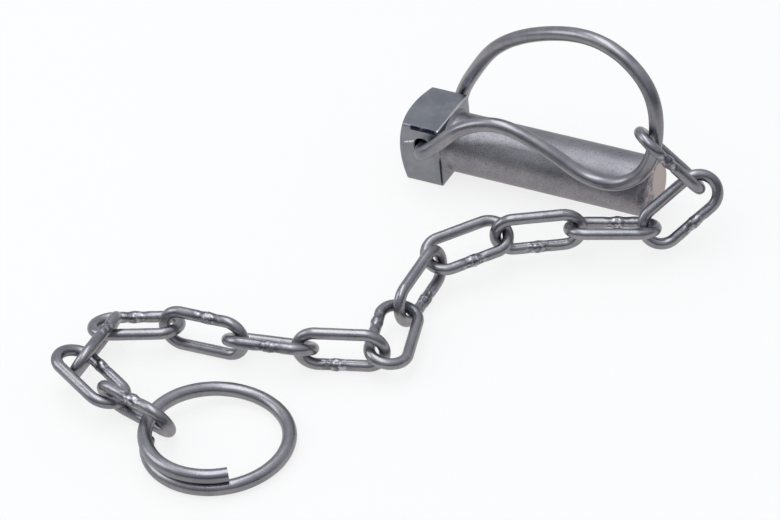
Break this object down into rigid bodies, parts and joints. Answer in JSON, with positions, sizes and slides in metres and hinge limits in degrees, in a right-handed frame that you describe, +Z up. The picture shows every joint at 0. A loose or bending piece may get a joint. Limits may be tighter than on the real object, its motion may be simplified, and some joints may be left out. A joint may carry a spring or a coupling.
{
  "type": "lynch pin",
  "caption": "Square-headed lynch pin with a spring wire bail, a welded link chain hooked on the bail and a split ring at the chain's end, to keep a drawbar or linkage pin in place.",
  "frame": {"origin": "on the pin's axis, at the inner end of the plain shank beside the neck of the head", "axes": "+X along the pin from the head to the tip, +Z up with the pin lying on a flat of its head, -Y toward the side where the chain lies"},
  "size_m": [0.1662, 0.1945, 0.0687],
  "materials": {
    "pin_steel": "zinc plated, satin, turned",
    "bail_wire": "zinc plated spring wire, bright",
    "chain_wire": "zinc plated welded wire, bright",
    "ring_wire": "zinc plated wire, slightly dull"
  },
  "bodies": {
    "pin": {"pin": "pin_steel"},
    "bail": {"bail": "bail_wire"},
    "link_01": {"link_01": "chain_wire"},
    "link_02": {"link_02": "chain_wire"},
    "link_03": {"link_03": "chain_wire"},
    "link_04": {"link_04": "chain_wire"},
    "link_05": {"link_05": "chain_wire"},
    "link_06": {"link_06": "chain_wire"},
    "link_07": {"link_07": "chain_wire"},
    "link_08": {"link_08": "chain_wire"},
    "link_09": {"link_09": "chain_wire"},
    "link_10": {"link_10": "chain_wire"},
    "link_11": {"link_11": "chain_wire"},
    "link_12": {"link_12": "chain_wire"},
    "link_13": {"link_13": "chain_wire"},
    "link_14": {"link_14": "chain_wire"},
    "split_ring": {"split_ring": "ring_wire"}
  },
  "joints": [
    {"name": "bail_hinge", "type": "hinge", "parent": "pin", "child": "bail", "pos_m": [-0.0078, 0, 0.0036], "axis": [0, -1, 0], "range_deg": [0, 165]},
    {"name": "link_01_hinge", "type": "hinge", "parent": "bail", "child": "link_01", "pos_m": [0.07639, -0.00864, 0.02968], "axis": [0.0353, 0.1401, 0.9895], "range_deg": [-24, 21]},
    {"name": "link_02_hinge", "type": "hinge", "parent": "link_01", "child": "link_02", "pos_m": [0.0885, -0.00477, 0.00897], "axis": [-0.6244, 0.7521, -0.211], "range_deg": [-45, 24]},
    {"name": "link_03_hinge", "type": "hinge", "parent": "link_02", "child": "link_03", "pos_m": [0.07559, -0.01962, -0.00229], "axis": [-0.426, 0.1855, 0.8855], "range_deg": [-29, 45]},
    {"name": "link_04_hinge", "type": "hinge", "parent": "link_03", "child": "link_04", "pos_m": [0.05385, -0.02922, 0], "axis": [0.4322, -0.8352, 0.34], "range_deg": [-43, 45]},
    {"name": "link_05_hinge", "type": "hinge", "parent": "link_04", "child": "link_05", "pos_m": [0.03352, -0.04121, -0.00005], "axis": [0.0068, -0.0364, 0.9993], "range_deg": [-45, 45]},
    {"name": "link_06_hinge", "type": "hinge", "parent": "link_05", "child": "link_06", "pos_m": [0.02014, -0.06002, -0.00171], "axis": [0.9235, -0.2461, -0.2943], "range_deg": [-45, 27]},
    {"name": "link_07_hinge", "type": "hinge", "parent": "link_06", "child": "link_07", "pos_m": [0.02079, -0.0836, -0.00369], "axis": [0.1054, 0.0538, -0.993], "range_deg": [-45, 45]},
    {"name": "link_08_hinge", "type": "hinge", "parent": "link_07", "child": "link_08", "pos_m": [0.02284, -0.10583, -0.0032], "axis": [0.8737, -0.4626, -0.1505], "range_deg": [-35, 45]},
    {"name": "link_09_hinge", "type": "hinge", "parent": "link_08", "child": "link_09", "pos_m": [-0.00139, -0.11042, -0.00335], "axis": [-0.0044, 0.0169, 0.9998], "range_deg": [-16, 16]},
    {"name": "link_10_hinge", "type": "hinge", "parent": "link_09", "child": "link_10", "pos_m": [-0.02373, -0.11445, -0.00335], "axis": [0.1083, -0.8224, 0.5585], "range_deg": [-32, 27]},
    {"name": "link_11_hinge", "type": "hinge", "parent": "link_10", "child": "link_11", "pos_m": [-0.0463, -0.11574, -0.00352], "axis": [0.0287, -0.0853, -0.9959], "range_deg": [-18, 45]},
    {"name": "link_12_hinge", "type": "hinge", "parent": "link_11", "child": "link_12", "pos_m": [-0.06219, -0.12788, -0.00284], "axis": [0.9946, -0.0086, 0.1039], "range_deg": [-37, 10]},
    {"name": "link_13_hinge", "type": "hinge", "parent": "link_12", "child": "link_13", "pos_m": [-0.05942, -0.14781, -0.00096], "axis": [0.476, 0.2404, 0.8459], "range_deg": [-45, 16]},
    {"name": "link_14_hinge", "type": "hinge", "parent": "link_13", "child": "link_14", "pos_m": [-0.04106, -0.15306, -0.00392], "axis": [0.2859, 0.9214, -0.2633], "range_deg": [-16, 18]},
    {"name": "split_ring_hinge", "type": "hinge", "parent": "link_14", "child": "split_ring", "pos_m": [-0.02058, -0.15735, -0.00411], "axis": [-0.0061, -0.3499, 0.9368], "range_deg": [-21, 13]}
  ]
}
